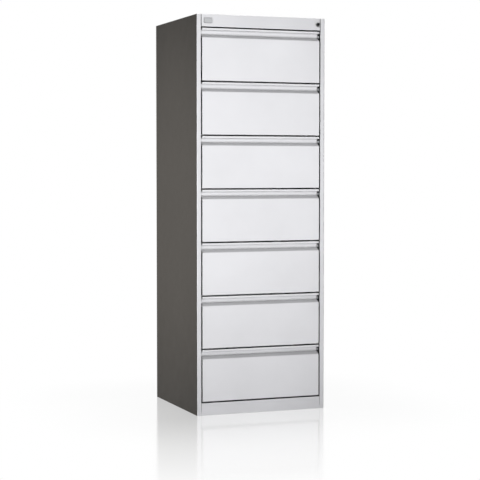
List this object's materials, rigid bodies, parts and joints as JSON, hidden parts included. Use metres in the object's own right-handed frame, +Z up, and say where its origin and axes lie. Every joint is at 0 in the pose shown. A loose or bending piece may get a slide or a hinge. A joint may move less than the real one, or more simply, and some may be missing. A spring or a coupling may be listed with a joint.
{
  "type": "envelope drawer cabinet",
  "caption": "Tall sheet-steel drawer cabinet for envelopes: dark grey shell, light grey frame and drawers with folded full-width grips, key lock at top right.",
  "frame": {"origin": "on the floor under the middle of the cabinet", "axes": "+Z up, drawers open towards -Y, +X to the right of someone facing the drawers"},
  "size_m": [0.47, 0.452, 1.357],
  "materials": {
    "shell_paint": "textured powder coat, anthracite",
    "front_paint": "semi-gloss powder coat, light grey",
    "tray_paint": "satin powder coat, light grey",
    "galvanised": "zinc-plated sheet steel",
    "lock_chrome": "polished chrome plating",
    "lock_core": "gloss black",
    "plate": "satin anodised, blank"
  },
  "bodies": {
    "root": {"side_panel_left": "shell_paint", "side_panel_right": "shell_paint", "back_panel": "shell_paint", "top_panel": "shell_paint", "base_panel": "shell_paint", "front_post_left": "front_paint", "front_post_right": "front_paint", "top_fascia": "front_paint", "plinth_rail": "front_paint", "blank_plate": "plate", "upright_front_left": "galvanised", "upright_front_right": "galvanised", "upright_rear_left": "galvanised", "upright_rear_right": "galvanised", "runner_outer_left": "galvanised", "runner_outer_right": "galvanised", "lock_housing": "lock_chrome", "lock_nut": "lock_chrome", "lock_bar_guides": "galvanised"},
    "drawer_1": {"drawer_1_front": "front_paint", "drawer_1_tray": "tray_paint", "drawer_1_divider": "tray_paint", "drawer_1_runner_inner": "galvanised"},
    "runner_1": {"drawer_1_runner_middle": "galvanised"},
    "drawer_2": {"drawer_2_front": "front_paint", "drawer_2_tray": "tray_paint", "drawer_2_divider": "tray_paint", "drawer_2_runner_inner": "galvanised"},
    "runner_2": {"drawer_2_runner_middle": "galvanised"},
    "drawer_3": {"drawer_3_front": "front_paint", "drawer_3_tray": "tray_paint", "drawer_3_divider": "tray_paint", "drawer_3_runner_inner": "galvanised"},
    "runner_3": {"drawer_3_runner_middle": "galvanised"},
    "drawer_4": {"drawer_4_front": "front_paint", "drawer_4_tray": "tray_paint", "drawer_4_divider": "tray_paint", "drawer_4_runner_inner": "galvanised"},
    "runner_4": {"drawer_4_runner_middle": "galvanised"},
    "drawer_5": {"drawer_5_front": "front_paint", "drawer_5_tray": "tray_paint", "drawer_5_divider": "tray_paint", "drawer_5_runner_inner": "galvanised"},
    "runner_5": {"drawer_5_runner_middle": "galvanised"},
    "drawer_6": {"drawer_6_front": "front_paint", "drawer_6_tray": "tray_paint", "drawer_6_divider": "tray_paint", "drawer_6_runner_inner": "galvanised"},
    "runner_6": {"drawer_6_runner_middle": "galvanised"},
    "drawer_7": {"drawer_7_front": "front_paint", "drawer_7_tray": "tray_paint", "drawer_7_divider": "tray_paint", "drawer_7_runner_inner": "galvanised"},
    "runner_7": {"drawer_7_runner_middle": "galvanised"},
    "lock_rotor": {"lock_plug": "lock_core", "lock_cam": "galvanised"},
    "lock_bar": {"lock_bar": "galvanised", "lock_bar_head": "galvanised", "lock_bar_hooks": "galvanised"}
  },
  "joints": [
    {"name": "drawer_1_slide", "type": "slide", "parent": "root", "child": "drawer_1", "axis": [0, -1, 0], "range_m": [0, 0.38]},
    {"name": "runner_1_slide", "type": "slide", "parent": "root", "child": "runner_1", "axis": [0, -1, 0], "range_m": [0, 0.19]},
    {"name": "drawer_2_slide", "type": "slide", "parent": "root", "child": "drawer_2", "axis": [0, -1, 0], "range_m": [0, 0.38]},
    {"name": "runner_2_slide", "type": "slide", "parent": "root", "child": "runner_2", "axis": [0, -1, 0], "range_m": [0, 0.19]},
    {"name": "drawer_3_slide", "type": "slide", "parent": "root", "child": "drawer_3", "axis": [0, -1, 0], "range_m": [0, 0.38]},
    {"name": "runner_3_slide", "type": "slide", "parent": "root", "child": "runner_3", "axis": [0, -1, 0], "range_m": [0, 0.19]},
    {"name": "drawer_4_slide", "type": "slide", "parent": "root", "child": "drawer_4", "axis": [0, -1, 0], "range_m": [0, 0.38]},
    {"name": "runner_4_slide", "type": "slide", "parent": "root", "child": "runner_4", "axis": [0, -1, 0], "range_m": [0, 0.19]},
    {"name": "drawer_5_slide", "type": "slide", "parent": "root", "child": "drawer_5", "axis": [0, -1, 0], "range_m": [0, 0.38]},
    {"name": "runner_5_slide", "type": "slide", "parent": "root", "child": "runner_5", "axis": [0, -1, 0], "range_m": [0, 0.19]},
    {"name": "drawer_6_slide", "type": "slide", "parent": "root", "child": "drawer_6", "axis": [0, -1, 0], "range_m": [0, 0.38]},
    {"name": "runner_6_slide", "type": "slide", "parent": "root", "child": "runner_6", "axis": [0, -1, 0], "range_m": [0, 0.19]},
    {"name": "drawer_7_slide", "type": "slide", "parent": "root", "child": "drawer_7", "axis": [0, -1, 0], "range_m": [0, 0.38]},
    {"name": "runner_7_slide", "type": "slide", "parent": "root", "child": "runner_7", "axis": [0, -1, 0], "range_m": [0, 0.19]},
    {"name": "lock_bar_slide", "type": "slide", "parent": "root", "child": "lock_bar", "axis": [0, 0, -1], "range_m": [0, 0.01202]},
    {"name": "lock_turn", "type": "hinge", "parent": "root", "child": "lock_rotor", "pos_m": [0.2095, -0.224, 1.3365], "axis": [0, 1, 0], "range_deg": [0, 90]}
  ],
  "couplings": [
    {"joint": "runner_1_slide", "follows": "drawer_1_slide", "ratio": 0.5},
    {"joint": "runner_2_slide", "follows": "drawer_2_slide", "ratio": 0.5},
    {"joint": "runner_3_slide", "follows": "drawer_3_slide", "ratio": 0.5},
    {"joint": "runner_4_slide", "follows": "drawer_4_slide", "ratio": 0.5},
    {"joint": "runner_5_slide", "follows": "drawer_5_slide", "ratio": 0.5},
    {"joint": "runner_6_slide", "follows": "drawer_6_slide", "ratio": 0.5},
    {"joint": "runner_7_slide", "follows": "drawer_7_slide", "ratio": 0.5},
    {"joint": "lock_turn", "follows": "lock_bar_slide", "rad_per_m": 130.67}
  ]
}
